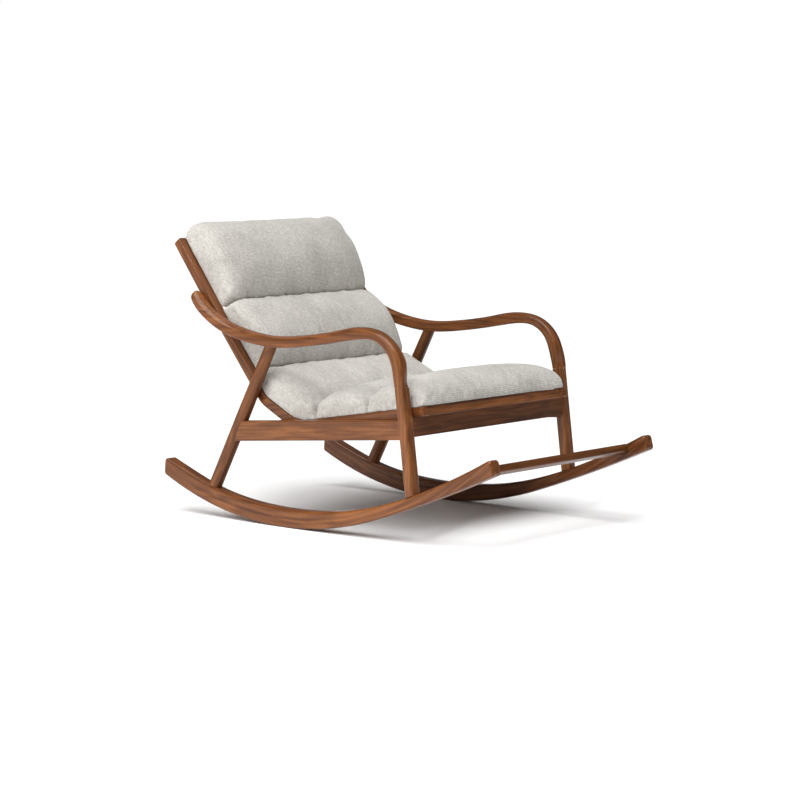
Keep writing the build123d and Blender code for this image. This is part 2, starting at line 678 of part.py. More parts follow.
# ----------------------------------------------------------------------------- cushion
with BuildLine() as cushion_outline:
    seams = [course_point(place, CUSHION_SEAM_HEIGHT) for place in CUSHION_SEAMS]
    front_foot, front_shoulder, front_crown = [course_point(*point) for point in CUSHION_FRONT]
    front_puff = ThreePointArc(front_shoulder, front_crown, seams[0])
    TangentArc(front_shoulder, front_foot, tangent=(front_puff % 0) * -1)
    top_foot, top_shoulder, top_crown = [course_point(*point) for point in CUSHION_TOP]
    top_puff = ThreePointArc(top_shoulder, top_crown, seams[-1])
    TangentArc(top_shoulder, top_foot, tangent=(top_puff % 0) * -1)
    for index, crown in enumerate(CUSHION_CROWNS):
        middle = (CUSHION_SEAMS[index] + CUSHION_SEAMS[index + 1]) / 2
        ThreePointArc(seams[index], course_point(middle, crown), seams[index + 1])
    under_corners = course_corners(-CUSHION_LIFT)
    under_corners[0] = front_foot
    under_corners[-1] = top_foot
    FilletPolyline(*under_corners, radius=course_radii(-CUSHION_LIFT))

PUFF_NAMES = ["front", "thigh", "hip", "waist", "head"]
PUFF_EDGES = [None] + CUSHION_SEAMS + [None]
HIP_SEAM = CUSHION_SEAMS[2]  # above it the cushion is narrower, to clear the arms


def cushion_body(start, end, inset, web):
    """The cushion between two seams, shrunk by inset, and by web at the seams."""
    half_width = BACK_HALF_WIDTH if start and start >= HIP_SEAM else SEAT_HALF_WIDTH
    with BuildPart() as body:
        with BuildSketch(side_plane(0)):
            make_face(cushion_outline.edges())
            if inset:
                offset(amount=-inset)
        extrude(amount=half_width - inset, both=True)
        if start:
            split(bisect_by=course_plane(start).offset(web), keep=Keep.TOP)
        if end:
            split(bisect_by=course_plane(end).offset(-web), keep=Keep.BOTTOM)
    return body.part


with BuildPart() as cushion_cover:
    add(cushion_body(None, HIP_SEAM, 0, 0))
    add(cushion_body(HIP_SEAM, None, 0, 0))
    for start, end in zip(PUFF_EDGES, PUFF_EDGES[1:]):
        add(cushion_body(start, end, COVER_THICKNESS, COVER_THICKNESS / 2), mode=Mode.SUBTRACT)
save(cushion_cover.part, "cushion_cover")

for name, start, end in zip(PUFF_NAMES, PUFF_EDGES, PUFF_EDGES[1:]):
    inset = COVER_THICKNESS + FILLING_GAP
    filling = cushion_body(start, end, inset, COVER_THICKNESS / 2 + FILLING_GAP)
    save(filling, f"cushion_filling_{name}")
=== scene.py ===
from math import atan2, cos, pi, radians, sin, tan

import bpy
import numpy as np
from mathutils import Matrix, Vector


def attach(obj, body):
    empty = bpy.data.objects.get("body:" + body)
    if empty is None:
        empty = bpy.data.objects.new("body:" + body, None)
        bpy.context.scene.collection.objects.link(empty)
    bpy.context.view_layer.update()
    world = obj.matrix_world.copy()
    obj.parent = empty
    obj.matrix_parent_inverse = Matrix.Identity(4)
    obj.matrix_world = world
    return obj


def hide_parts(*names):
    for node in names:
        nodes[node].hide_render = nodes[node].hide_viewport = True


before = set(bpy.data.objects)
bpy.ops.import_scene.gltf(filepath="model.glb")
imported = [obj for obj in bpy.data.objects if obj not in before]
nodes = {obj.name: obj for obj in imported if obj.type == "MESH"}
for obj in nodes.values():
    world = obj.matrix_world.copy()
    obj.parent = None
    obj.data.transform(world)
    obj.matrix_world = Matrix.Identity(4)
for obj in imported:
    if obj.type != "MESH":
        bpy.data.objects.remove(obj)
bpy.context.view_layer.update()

# ------------------------------------------------------------------ dimensions
# upper edge of the side rails in the side view, where the cushion lies (y, z)
COURSE_CORNERS = [(-0.3081, 0.331), (0.1069, 0.262), (0.2129, 0.316), (0.3809, 0.525), (0.5159, 0.703)]
COURSE_RADII = [0.110, 0.060, 3.0]
SEAMS = [0.195, 0.366, 0.600, 0.808]  # distances along that edge
SEAM_HEIGHT = 0.043
LIFT = 0.0012  # clearance under the cushion
START_INSET = 0.003  # the simulated puffs swell by about this much
SEAM_OVERLAP = 0.0025
SEAT_HALF_WIDTH = 0.281
BACK_HALF_WIDTH = 0.267
# (distance, height) of foot, nose, shoulder and crown of the end puffs; crowns of the others
FRONT_PROFILE = [(0.012, 0.002), (0.003, 0.028), (0.028, 0.062), (0.104, 0.078)]
HEAD_PROFILE = [(1.038, 0.002), (1.050, 0.042), (1.020, 0.082), (0.920, 0.091)]
CROWNS = {"thigh": 0.079, "hip": 0.081, "waist": 0.081}
SIDE_ROUND = 0.040  # length across the chair over which a puff's end rounds off
SIDE_PULL = 0.024  # how far its end is pulled in
# share of its height that a puff loses at its end
SIDE_FALLS = {"front": 0.17, "thigh": 0.24, "hip": 0.15, "waist": 0.11, "head": 0.07}
FREE_END_PULL = 0.5  # share of that pull at the front and the top of the cushion
SIDE_FALL_POWER = 2.6  # how suddenly that share is lost
VOXEL = 0.0055
CLOTH_CAP = 0.012  # most that the cloth may move
CLOTH_SHARE = 0.7  # share of its movement that is kept
REST_HEIGHT = 0.007  # cloth this near the frame is pressed flat on it
REST_BLEND = 0.026  # and above this height it is left as it is
CLOTH_FRAMES = 20
PUCKER_WAVES = (0.071, 0.047, 0.029, 0.021)  # lengths of the gathers along a seam
PUCKER_DEPTH = 0.00055
PUCKER_REACH = 0.024  # how far from the seam they fade out
SLACK_DEPTH = 0.0008
HEAD_EASING = 12  # smoothing steps that round the head puff's tight corners


# ------------------------------------------------------------------ line helpers
def rounded_path(corners, radii, steps=24):
    """Points along straight runs joined by arcs."""
    points = [np.array(corners[0])]
    for before, corner, after, radius in zip(corners, corners[1:], corners[2:], radii):
        before, corner, after = np.array(before), np.array(corner), np.array(after)
        a = (before - corner) / np.linalg.norm(before - corner)
        b = (after - corner) / np.linalg.norm(after - corner)
        half = np.arccos(np.clip(a @ b, -1, 1)) / 2
        centre = corner + (a + b) / np.linalg.norm(a + b) * radius / sin(half)
        first = corner + a * radius / tan(half) - centre
        last = corner + b * radius / tan(half) - centre
        start = atan2(first[1], first[0])
        turn = (atan2(last[1], last[0]) - start + pi) % (2 * pi) - pi
        for step in range(steps + 1):
            angle = start + turn * step / steps
            points.append(centre + radius * np.array([cos(angle), sin(angle)]))
    points.append(np.array(corners[-1]))
    return np.array(points)


def lengths(points):
    """Length along a line up to each of its points."""
    return np.r_[0, np.cumsum(np.linalg.norm(np.diff(points, axis=0), axis=1))]


COURSE = rounded_path(COURSE_CORNERS, COURSE_RADII)
COURSE_LENGTHS = lengths(COURSE)


def course_point(distance, rise=0.0):
    """(y, z) this far along the rails' upper edge and this far above it."""
    end = min(distance, COURSE_LENGTHS[-1])
    before, here = [
        np.array([np.interp(d, COURSE_LENGTHS, COURSE[:, axis]) for axis in (0, 1)])
        for d in (end - 0.001, end)
    ]
    tangent = (here - before) / np.linalg.norm(here - before)
    foot = here + tangent * max(distance - COURSE_LENGTHS[-1], 0)
    return foot + rise * np.array([-tangent[1], tangent[0]])


def arc_through(a, b, c, steps=30):
    """Points on the arc from a through b to c."""
    a, b, c = np.array(a), np.array(b), np.array(c)
    rows = 2 * np.array([b - a, c - a])
    centre = np.linalg.solve(rows, [b @ b - a @ a, c @ c - a @ a])
    angles = [atan2(*(p - centre)[::-1]) for p in (a, b, c)]
    turn = (angles[2] - angles[0]) % (2 * pi)
    if (angles[1] - angles[0]) % (2 * pi) > turn:
        turn -= 2 * pi
    radius = np.linalg.norm(a - centre)
    swept = angles[0] + turn * np.linspace(0, 1, steps + 1)
    return centre + radius * np.stack([np.cos(swept), np.sin(swept)], 1)


def along(points, share):
    """The points at these shares of a line's length."""
    done = lengths(points)
    return np.stack([np.interp(share * done[-1], done, points[:, axis]) for axis in (0, 1)], -1)


# ------------------------------------------------------------------ node helpers
def link_value(tree, socket, value):
    """Plugs a node's output, or a plain number or colour, into a socket."""
    if isinstance(value, bpy.types.NodeSocket):
        tree.links.new(value, socket)
    else:
        socket.default_value = value


def math_node(tree, operation, first, second=0.0, third=None):
    node = tree.nodes.new("ShaderNodeMath")
    node.operation = operation
    link_value(tree, node.inputs[0], first)
    link_value(tree, node.inputs[1], second)
    if third is not None:
        link_value(tree, node.inputs[2], third)
    return node.outputs[0]


def times(tree, first, second):
    return math_node(tree, "MULTIPLY", first, second)


def distance_node(tree, across, up):
    """Length of the vector (across, up)."""
    return math_node(tree, "SQRT", math_node(tree, "ADD", times(tree, across, across), times(tree, up, up)))


def vector_node(tree, operation, first, second):
    node = tree.nodes.new("ShaderNodeVectorMath")
    node.operation = operation
    link_value(tree, node.inputs[0], first)
    link_value(tree, node.inputs[1], second)
    return node.outputs["Value"] if operation == "DOT_PRODUCT" else node.outputs["Vector"]


def combine(tree, x, y, z):
    node = tree.nodes.new("ShaderNodeCombineXYZ")
    for socket, value in zip(node.inputs, (x, y, z)):
        link_value(tree, socket, value)
    return node.outputs[0]


def stretched(tree, grain, lengthwise, crosswise):
    """Grain coordinates scaled by one factor along the grain and by another across it."""
    length, side, other = grain
    across = [times(tree, side, crosswise), times(tree, other, crosswise)]
    return combine(tree, times(tree, length, lengthwise), *across)


def noise_node(tree, vector, scale, detail=3.0, rough=0.5, distortion=0.0):
    node = tree.nodes.new("ShaderNodeTexNoise")
    tree.links.new(vector, node.inputs["Vector"])
    node.inputs["Scale"].default_value = scale
    node.inputs["Detail"].default_value = detail
    node.inputs["Roughness"].default_value = rough
    node.inputs["Distortion"].default_value = distortion
    return node.outputs["Fac"]


def ramp(tree, value, *stops):
    """A colour ramp; each stop is (place, colour)."""
    node = tree.nodes.new("ShaderNodeValToRGB")
    tree.links.new(value, node.inputs[0])
    elements = node.color_ramp.elements
    while len(elements) < len(stops):
        elements.new(0.5)
    for element, (place, colour) in zip(elements, stops):
        element.position = place
        element.color = (*colour, 1) if isinstance(colour, tuple) else (colour, colour, colour, 1)
    return node.outputs[0]


def mix_colour(tree, factor, first, second, blend="MIX"):
    node = tree.nodes.new("ShaderNodeMix")
    node.data_type = "RGBA"
    node.blend_type = blend
    link_value(tree, node.inputs["Factor"], factor)
    link_value(tree, node.inputs["A"], first)
    link_value(tree, node.inputs["B"], second)
    return node.outputs["Result"]


def bump(tree, height, strength, distance):
    node = tree.nodes.new("ShaderNodeBump")
    node.inputs["Strength"].default_value = strength
    node.inputs["Distance"].default_value = distance
    tree.links.new(height, node.inputs["Height"])
    return node.outputs["Normal"]


def new_material(name):
    material = bpy.data.materials.new(name)
    material.use_nodes = True
    tree = material.node_tree
    shader = tree.nodes["Principled BSDF"]
    place = tree.nodes.new("ShaderNodeTexCoord").outputs["Object"]
    return material, tree, shader, place


# ------------------------------------------------------------------ wood
WOOD_PALE = (0.285, 0.103, 0.030)
WOOD_MID = (0.150, 0.050, 0.014)
WOOD_DARK = (0.045, 0.014, 0.005)
ARM_BEND = (-0.1585, 0.4074)  # middle of the bend at the front of the arms
ARM_BEND_RADIUS = 0.092
ROCKER_MIDDLE = (0.1249, 0.965)  # middle of the rockers' arc


def straight_grain(axis):
    """Coordinates with the grain along axis."""
    grain = Vector(axis).normalized()
    side = grain.orthogonal().normalized()
    other = grain.cross(side)

    def build(tree, place):
        return [vector_node(tree, "DOT_PRODUCT", place, tuple(v)) for v in (grain, side, other)]

    return build


def rocker_grain(tree, place):
    """Grain that follows the rocker's arc, as in wood laminated to a curve."""
    parts = tree.nodes.new("ShaderNodeSeparateXYZ")
    tree.links.new(place, parts.inputs[0])
    ahead = math_node(tree, "SUBTRACT", parts.outputs[1], ROCKER_MIDDLE[0])
    below = math_node(tree, "SUBTRACT", ROCKER_MIDDLE[1], parts.outputs[2])
    turned = times(tree, math_node(tree, "ARCTAN2", ahead, below), ROCKER_MIDDLE[1])
    return [turned, distance_node(tree, ahead, below), parts.outputs[0]]


def arm_grain(tree, place):
    """Grain along the arm and down its front bend."""
    parts = tree.nodes.new("ShaderNodeSeparateXYZ")
    tree.links.new(place, parts.inputs[0])
    ahead = math_node(tree, "SUBTRACT", ARM_BEND[0], parts.outputs[1])
    above = math_node(tree, "SUBTRACT", parts.outputs[2], ARM_BEND[1])
    front = math_node(tree, "MAXIMUM", ahead, 0.0)
    top = math_node(tree, "MAXIMUM", above, 0.0)
    turned = times(tree, math_node(tree, "ARCTAN2", front, top), ARM_BEND_RADIUS)
    back = math_node(tree, "MINIMUM", ahead, 0.0)
    under = math_node(tree, "MINIMUM", above, 0.0)
    distance = math_node(tree, "SUBTRACT", math_node(tree, "ADD", turned, back), under)
    return [distance, distance_node(tree, front, top), parts.outputs[0]]


def wood(name, grain, seed, tone_and_shade=1.0):
    """Oiled walnut. The grain runs along the first of the grain coordinates."""
    material, tree, shader, place = new_material(name)
    length, side, other = grain(tree, place)
    # each piece is cut from another place in the board
    cut = [math_node(tree, "ADD", length, seed * 3.7), math_node(tree, "ADD", side, seed * 1.3), other]
    # slow waves of the growth rings, cut along the piece
    rings = noise_node(tree, stretched(tree, cut, 3.0, 26.0), 1.0, 2.0, 0.45, 0.3)
    lines = math_node(tree, "SINE", times(tree, rings, 38.0))
    lines = math_node(tree, "MULTIPLY_ADD", lines, 0.5, 0.5)
    # fibres and pores: long and narrow
    fibres = noise_node(tree, stretched(tree, cut, 14.0, 620.0), 1.0, 3.0, 0.6)
    pores = noise_node(tree, stretched(tree, cut, 55.0, 1250.0), 1.0, 1.0, 0.5)
    pores = ramp(tree, pores, (0.60, 0.0), (0.68, 1.0))
    # broad change from board to board
    broad = noise_node(tree, stretched(tree, cut, 1.6, 9.0), 1.0, 2.0, 0.5)
    # stripes of earlier and later growth, a few millimetres wide
    stripes = noise_node(tree, stretched(tree, cut, 2.2, 170.0), 1.0, 2.0, 0.5)
    figure = math_node(tree, "MULTIPLY_ADD", lines, 0.12, times(tree, broad, 0.42))
    figure = math_node(tree, "MULTIPLY_ADD", stripes, 0.46, figure)
    # the tone scales the colours; for the front apron and front stretcher it also carries painted shade
    dark, mid, pale = [
        tuple(channel * tone_and_shade for channel in colour) for colour in (WOOD_DARK, WOOD_MID, WOOD_PALE)
    ]
    colour = ramp(tree, figure, (0.27, dark), (0.5, mid), (0.73, pale))
    streaks = ramp(tree, fibres, (0.3, 0.72), (0.7, 1.16))
    colour = mix_colour(tree, 0.8, colour, streaks, "MULTIPLY")
    colour = mix_colour(tree, times(tree, pores, 0.42), colour, (*WOOD_DARK, 1))
    tree.links.new(colour, shader.inputs["Base Color"])
    gloss = math_node(tree, "MULTIPLY_ADD", fibres, 0.14, 0.26)
    tree.links.new(math_node(tree, "MULTIPLY_ADD", pores, 0.15, gloss), shader.inputs["Roughness"])
    relief = math_node(tree, "MULTIPLY_ADD", pores, -0.7, times(tree, fibres, 0.5))
    tree.links.new(bump(tree, relief, 0.22, 0.0003), shader.inputs["Normal"])
    shader.inputs["Specular IOR Level"].default_value = 0.16
    shader.inputs["Coat Weight"].default_value = 0.28
    shader.inputs["Coat Roughness"].default_value = 0.08
    return material


# ------------------------------------------------------------------ metal
def metal(name, colour, turned):
    """Metal with fine marks: rings across x where it is turned, else lines along x."""
    material, tree, shader, place = new_material(name)
    stretch = (2600.0, 300.0, 300.0) if turned else (300.0, 2200.0, 2200.0)
    marks = noise_node(tree, vector_node(tree, "MULTIPLY", place, stretch), 1.0, 2.0, 0.6)
    stains = noise_node(tree, place, 160.0, 2.0, 0.5)
    tint = ramp(tree, stains, (0.3, tuple(c * 0.82 for c in colour)), (0.7, colour))
    tree.links.new(tint, shader.inputs["Base Color"])
    tree.links.new(math_node(tree, "MULTIPLY_ADD", marks, 0.22, 0.2), shader.inputs["Roughness"])
    tree.links.new(bump(tree, marks, 0.15, 0.0001), shader.inputs["Normal"])
    shader.inputs["Metallic"].default_value = 1.0
    return material


# ------------------------------------------------------------------ fabric
YARN = (0.0056, 0.0034)  # length and width of a yarn's visible run
CLOTH_PALE = (0.745, 0.715, 0.665)
CLOTH_SHADE = (0.20, 0.18, 0.155)  # in the gaps between the yarns
CLOTH_GREY = (0.455, 0.43, 0.39)


def fabric(name):
    """Chenille in a fine broken twill. The mesh attribute "weave" holds metres across and along."""
    material, tree, shader, place = new_material(name)
    weave = tree.nodes.new("ShaderNodeAttribute")
    weave.attribute_name = "weave"
    wobble = noise_node(tree, place, 260.0, 2.0, 0.5)
    wobble = combine(tree, times(tree, wobble, 0.0013), times(tree, wobble, 0.0009), 0.0)
    lay = vector_node(tree, "ADD", weave.outputs["Vector"], wobble)
    yarn = tree.nodes.new("ShaderNodeTexBrick")
    tree.links.new(lay, yarn.inputs["Vector"])
    yarn.offset = 0.5
    yarn.inputs["Scale"].default_value = 1.0
    yarn.inputs["Brick Width"].default_value = YARN[0]
    yarn.inputs["Row Height"].default_value = YARN[1]
    yarn.inputs["Mortar Size"].default_value = 0.0006
    yarn.inputs["Mortar Smooth"].default_value = 0.9
    yarn.inputs["Color1"].default_value = (0.4, 0.4, 0.4, 1)
    yarn.inputs["Color2"].default_value = (1, 1, 1, 1)
    yarn.inputs["Mortar"].default_value = (0, 0, 0, 1)
    each_yarn = yarn.outputs["Color"]
    gaps = yarn.outputs["Fac"]
    # slubs: thicker, darker or paler runs of yarn along the rows
    slub = noise_node(tree, vector_node(tree, "MULTIPLY", lay, (85.0, 240.0, 0.0)), 1.0, 2.0, 0.6)
    warp = noise_node(tree, vector_node(tree, "MULTIPLY", lay, (300.0, 26.0, 0.0)), 1.0, 1.0, 0.5)
    slub = math_node(tree, "MULTIPLY_ADD", slub, 0.6, times(tree, warp, 0.4))
    broad = noise_node(tree, place, 9.0, 3.0, 0.55)
    fuzz = noise_node(tree, place, 1500.0, 2.0, 0.6)
    shade = math_node(tree, "MULTIPLY_ADD", slub, 0.75, times(tree, broad, 0.45))
    colour = ramp(tree, shade, (0.42, CLOTH_GREY), (0.74, CLOTH_PALE))
    colour = mix_colour(tree, 0.34, colour, each_yarn, "MULTIPLY")
    colour = mix_colour(tree, times(tree, gaps, 0.5), colour, (*CLOTH_SHADE, 1))
    tree.links.new(colour, shader.inputs["Base Color"])
    relief = math_node(tree, "MULTIPLY_ADD", fuzz, 0.35, times(tree, slub, 0.5))
    relief = math_node(tree, "MULTIPLY_ADD", gaps, -0.8, relief)
    tree.links.new(bump(tree, relief, 0.7, 0.0012), shader.inputs["Normal"])
    tree.links.new(math_node(tree, "MULTIPLY_ADD", fuzz, 0.1, 0.85), shader.inputs["Roughness"])
    shader.inputs["Sheen Weight"].default_value = 0.35
    shader.inputs["Sheen Roughness"].default_value = 0.5
    shader.inputs["Specular IOR Level"].default_value = 0.2
    return material


# ------------------------------------------------------------------ cushion
PUFFS = ["front", "thigh", "hip", "waist", "head"]
EDGES = [FRONT_PROFILE[0][0]] + SEAMS + [HEAD_PROFILE[0][0]]


def puff_lines(name, start, end):
    """Bottom and top line of a puff in the side view, both from its lower to its upper edge."""
    bottom = np.array([course_point(d, LIFT + START_INSET / 2) for d in np.linspace(start, end, 60)])
    near, far = course_point(start, SEAM_HEIGHT), course_point(end, SEAM_HEIGHT)
    if name == "front":
        foot, nose, shoulder, crown = [course_point(*p) for p in FRONT_PROFILE]
        top = np.vstack([arc_through(foot, nose, shoulder), arc_through(shoulder, crown, far)[1:]])
    elif name == "head":
        foot, nose, shoulder, crown = [course_point(*p) for p in HEAD_PROFILE]
        top = np.vstack([arc_through(near, crown, shoulder), arc_through(shoulder, nose, foot)[1:]])
    else:
        top = arc_through(near, course_point((start + end) / 2, CROWNS[name]), far)
    return bottom, top


def puff_solid(name, start, end, half_width):
    """Closed mesh of a puff before it is filled: its outline, drawn in towards both ends."""
    low = start if name == "front" else start - SEAM_OVERLAP
    high = end if name == "head" else end + SEAM_OVERLAP
    bottom, top = puff_lines(name, low, high)
    run = lengths(bottom)[-1]
    ring = [(u, 0) for u in np.linspace(0, 1, 25)]
    ring += [(1, v) for v in np.linspace(0, 1, 8)[1:-1]]
    ring += [(u, 1) for u in np.linspace(1, 0, 37)]
    ring += [(0, v) for v in np.linspace(1, 0, 8)[1:-1]]
    ring = np.array(ring, float)
    reach = half_width - START_INSET
    places = list(np.linspace(0, reach - SIDE_ROUND, 12))
    places += [reach - SIDE_ROUND * cos(angle) for angle in np.linspace(0, pi / 2, 8)[1:]]
    places = [-x for x in places[:0:-1]] + places
    free_end = {"front": ring[:, 0] < 0.5, "head": ring[:, 0] > 0.5}.get(name, np.zeros(len(ring), bool))
    columns = []
    for x in places:
        past = max(abs(x) - reach + SIDE_ROUND, 0) / SIDE_ROUND
        pull = START_INSET + SIDE_PULL * (1 - np.sqrt(max(1 - past**2, 0)))
        pull_at = pull * (0.1 + 0.9 * ring[:, 1])
        pull_at = np.where(free_end, pull_at * FREE_END_PULL, pull_at)
        u = 0.5 + (ring[:, 0] - 0.5) * (1 - 2 * pull_at / run)
        v = ring[:, 1] * (1 - (pull + 0.2 * START_INSET) / CROWNS.get(name, 0.08))
        v = v * (1 - SIDE_FALLS[name] * (abs(x) / reach) ** SIDE_FALL_POWER)
        floor, roof = along(bottom, u), along(top, u)
        side = floor + (roof - floor) * v[:, None]
        spread = np.where(ring[:, 1] < 0.5, 1 + START_INSET / reach, 1)
        columns.append(np.column_stack([x * spread, side]))
    verts = np.vstack(columns)
    count = len(ring)
    faces = []
    for column in range(len(places) - 1):
        for i in range(count):
            j = (i + 1) % count
            a, b = column * count, (column + 1) * count
            faces.append((a + i, a + j, b + j, b + i))
    last = (len(places) - 1) * count
    verts = np.vstack([verts, columns[0].mean(0), columns[-1].mean(0)])
    for i in range(count):
        j = (i + 1) % count
        faces.append((i, len(verts) - 2, j))
        faces.append((last + i, last + j, len(verts) - 1))
    return verts, faces, top


def mesh_object(name, verts, faces):
    mesh = bpy.data.meshes.new(name)
    mesh.from_pydata([tuple(v) for v in verts], [], faces)
    mesh.validate()
    obj = bpy.data.objects.new(name, mesh)
    bpy.context.scene.collection.objects.link(obj)
    return obj


def bake_modifiers(obj):
    """Puts the result of the modifiers into the mesh."""
    graph = bpy.context.evaluated_depsgraph_get()
    baked = bpy.data.meshes.new_from_object(obj.evaluated_get(graph))
    obj.modifiers.clear()
    obj.data = baked


def coordinates(mesh):
    co = np.zeros(len(mesh.vertices) * 3)
    mesh.vertices.foreach_get("co", co)
    return co.reshape(-1, 3)


def set_coordinates(mesh, co):
    mesh.vertices.foreach_set("co", co.ravel())
    mesh.update()


def nearest_on(line, points):
    """For each (y, z) point: the nearest place along the line, and the signed distance from it."""
    done = lengths(line)
    fine = along(line, np.linspace(0, 1, 400))
    best = np.empty(len(points), int)
    for i in range(0, len(points), 4000):
        chunk = points[i : i + 4000, None, :] - fine[None]
        best[i : i + 4000] = (chunk**2).sum(-1).argmin(1)
    tangent = np.gradient(fine, axis=0)
    tangent /= np.linalg.norm(tangent, axis=1)[:, None]
    away = points - fine[best]
    side = -away[:, 0] * tangent[best, 1] + away[:, 1] * tangent[best, 0]
    return best / 399 * done[-1] + (away * tangent[best]).sum(1), side


def settle(co, half_width):
    """Rests the cloth flat on the rails and slats and holds it between the arms."""
    co[:, 0] = np.clip(co[:, 0], -half_width, half_width)
    place, height = nearest_on(COURSE, co[:, 1:])
    near = (place > 0) & (place < COURSE_LENGTHS[-1]) & (height < REST_BLEND)
    rising = np.clip((height - REST_HEIGHT) / (REST_BLEND - REST_HEIGHT), 0, 1)
    rested = LIFT + (REST_BLEND - LIFT) * rising**1.25
    tangent = np.gradient(COURSE, axis=0)
    ty = np.interp(place, COURSE_LENGTHS, tangent[:, 0])
    tz = np.interp(place, COURSE_LENGTHS, tangent[:, 1])
    size = np.hypot(ty, tz)
    lift = np.where(near, rested - height, 0)
    co[:, 1] -= lift * tz / size
    co[:, 2] += lift * ty / size
    return co


def simulate(objects, bases):
    """Fills the puffs: pressure from inside, held at the seams and where they rest."""
    scene = bpy.context.scene
    for obj in objects:
        cloth = obj.modifiers.new("Cloth", "CLOTH")
        settings = cloth.settings
        settings.quality = 5
        settings.mass = 0.3
        settings.tension_stiffness = 12
        settings.compression_stiffness = 12
        settings.shear_stiffness = 4
        settings.bending_stiffness = 0.4
        settings.use_pressure = True
        settings.uniform_pressure_force = 4
        settings.shrink_min = -0.012
        settings.effector_weights.gravity = 0
        settings.vertex_group_mass = "held"
        cloth.collision_settings.use_collision = False
        cloth.point_cache.frame_start = 1
        cloth.point_cache.frame_end = CLOTH_FRAMES
    for step in range(1, CLOTH_FRAMES + 1):
        scene.frame_set(step)
    for obj, base in zip(objects, bases):
        bake_modifiers(obj)
        moved = coordinates(obj.data) - base
        size = np.linalg.norm(moved, axis=1)
        moved *= (CLOTH_SHARE * np.minimum(1, CLOTH_CAP / np.maximum(size, 1e-9)))[:, None]
        set_coordinates(obj.data, base + moved)
    scene.frame_set(1)


def build_cushion():
    objects, tops, widths = [], [], []
    for name, start, end in zip(PUFFS, EDGES, EDGES[1:]):
        half_width = BACK_HALF_WIDTH if start >= SEAMS[2] else SEAT_HALF_WIDTH
        verts, faces, top = puff_solid(name, start, end, half_width)
        obj = mesh_object("cushion_puff_" + name, verts, faces)
        remesh = obj.modifiers.new("Remesh", "REMESH")
        remesh.mode = "VOXEL"
        remesh.voxel_size = VOXEL
        soften = obj.modifiers.new("Smooth", "SMOOTH")
        soften.factor = 0.5
        soften.iterations = 4
        bake_modifiers(obj)
        objects.append(obj)
        tops.append(top)
        widths.append(half_width)
    bases = [coordinates(obj.data) for obj in objects]
    for obj, base, name in zip(objects, bases, PUFFS):
        held = obj.vertex_groups.new(name="held")
        place, height = nearest_on(COURSE, base[:, 1:])
        weight = np.clip((0.012 - height) / 0.006, 0, 1)
        for seam in SEAMS:
            near = np.clip(1.5 - np.abs(place - seam) / 0.004, 0, 1) * (height < SEAM_HEIGHT - 0.004)
            weight = np.maximum(weight, 0.9 * near)
        for share in np.unique(np.round(weight, 1)):
            if share > 0:
                held.add(np.flatnonzero(np.round(weight, 1) == share).tolist(), float(share), "REPLACE")
    simulate(objects, bases)
    for obj, name, top, half_width in zip(objects, PUFFS, tops, widths):
        finish_puff(obj, name, top, half_width)
    return objects


def finish_puff(obj, name, top, half_width):
    """Subdivides a filled puff, gathers the cloth at the seams and lays the weave."""
    if name == "head":
        ease = obj.modifiers.new("Smooth", "SMOOTH")
        ease.factor = 0.5
        ease.iterations = HEAD_EASING
    finer = obj.modifiers.new("Subdivision", "SUBSURF")
    finer.levels = finer.render_levels = 1
    bake_modifiers(obj)
    co = coordinates(obj.data)
    normals = np.zeros(len(co) * 3)
    obj.data.vertices.foreach_get("normal", normals)
    normals = normals.reshape(-1, 3)
    place, height = nearest_on(COURSE, co[:, 1:])
    arc, depth = nearest_on(top, co[:, 1:])
    edge = np.minimum(arc, lengths(top)[-1] - arc)
    pucker = np.zeros(len(co))
    draw = np.random.default_rng(sum(map(ord, obj.name)))
    for wave in PUCKER_WAVES:
        phase, drift = draw.uniform(0, 2 * pi), draw.uniform(-0.12, 0.12)
        pucker += np.sin((co[:, 0] + drift * arc) * 2 * pi / wave + phase) * wave / 0.047
    reach = np.where((height > 0.02) & (depth > -0.03), np.exp(-edge / PUCKER_REACH), 0)
    slack = np.sin(co[:, 0] * 2 * pi / 0.31 + draw.uniform(0, 6))
    slack *= np.sin(arc * 2 * pi / 0.13 + draw.uniform(0, 6))
    soft = np.where(height > 0.02, SLACK_DEPTH, 0) * slack
    co += normals * (PUCKER_DEPTH * pucker * reach + soft)[:, None]
    set_coordinates(obj.data, settle(co, half_width))
    across = np.abs(co[:, 0]) + np.maximum(-depth, 0)
    weave = obj.data.attributes.new("weave", "FLOAT_VECTOR", "POINT")
    laid = np.column_stack([across * np.sign(co[:, 0]), arc, np.zeros(len(co))])
    weave.data.foreach_set("vector", laid.astype(np.float32).ravel())
    for face in obj.data.polygons:
        face.use_smooth = True


cushion = build_cushion()
cloth_material = fabric("chenille")
for obj, name in zip(cushion, PUFFS):
    obj.data.materials.clear()
    obj.data.materials.append(cloth_material)
    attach(obj, "cushion")
    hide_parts("cushion_cover", "cushion_filling_" + name)

# ------------------------------------------------------------------ materials on the CAD nodes
ACROSS = straight_grain((1, 0, 0))
GRAINS = {
    "rocker": rocker_grain,
    "arm": arm_grain,
    "front_leg": arm_grain,
    "rear_leg": straight_grain((0, -198, 367)),
    "back_rail": straight_grain((0, 168, 209)),
    "seat_rail": straight_grain((0, 415, -69)),
    "side_apron": straight_grain((0, 464, -38)),
}
# painted shade: the front apron and front stretcher face away from the lights and are darkened to stand in
# for the shade on them; share of the tone of the other boards
PAINTED_SHADE_BOARDS = {"front_apron": 0.74, "front_stretcher": 0.74}
